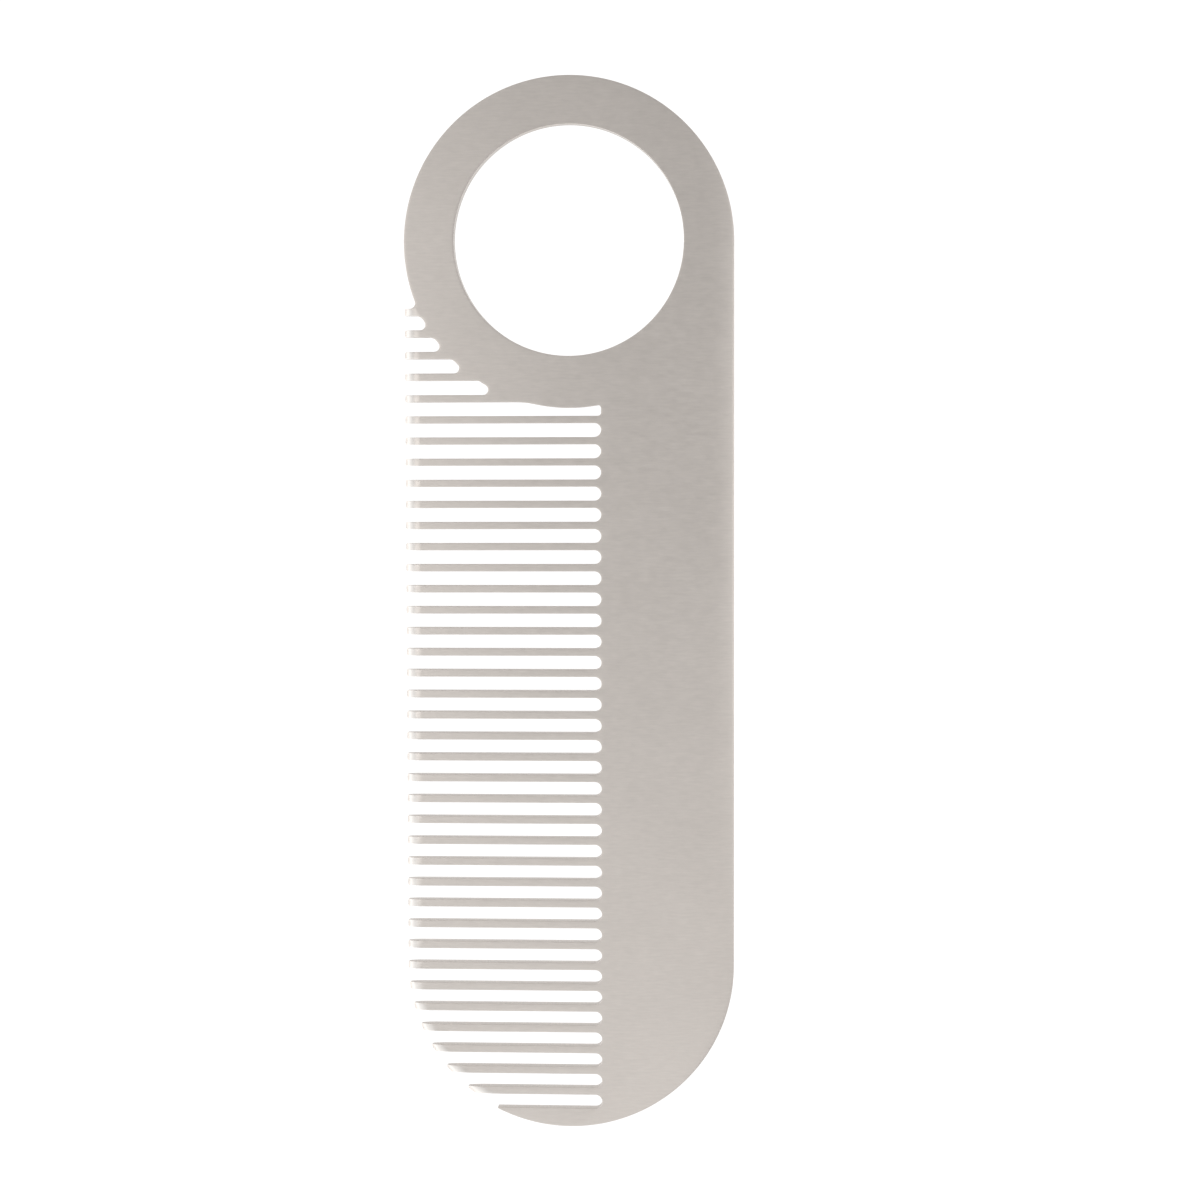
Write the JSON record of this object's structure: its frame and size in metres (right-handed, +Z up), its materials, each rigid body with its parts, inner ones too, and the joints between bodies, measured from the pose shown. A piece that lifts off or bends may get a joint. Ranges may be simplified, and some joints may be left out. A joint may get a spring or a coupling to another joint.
{
  "type": "beard comb",
  "caption": "Flat stainless steel pocket beard comb with a finger ring at one end, a solid spine and one row of fine teeth.",
  "frame": {"origin": "middle of the underside, at the centre of the comb's length and width, on the surface the comb lies on", "axes": "+Y along the comb towards the finger ring, +X towards the spine edge with the tooth tips at -X, +Z up through the sheet"},
  "size_m": [0.0318, 0.1016, 0.0012],
  "materials": {
    "brushed_steel": "satin"
  },
  "bodies": {
    "root": {"finger_ring": "brushed_steel", "spine": "brushed_steel", "teeth": "brushed_steel", "ring_teeth": "brushed_steel", "end_guard": "brushed_steel"}
  },
  "joints": []
}
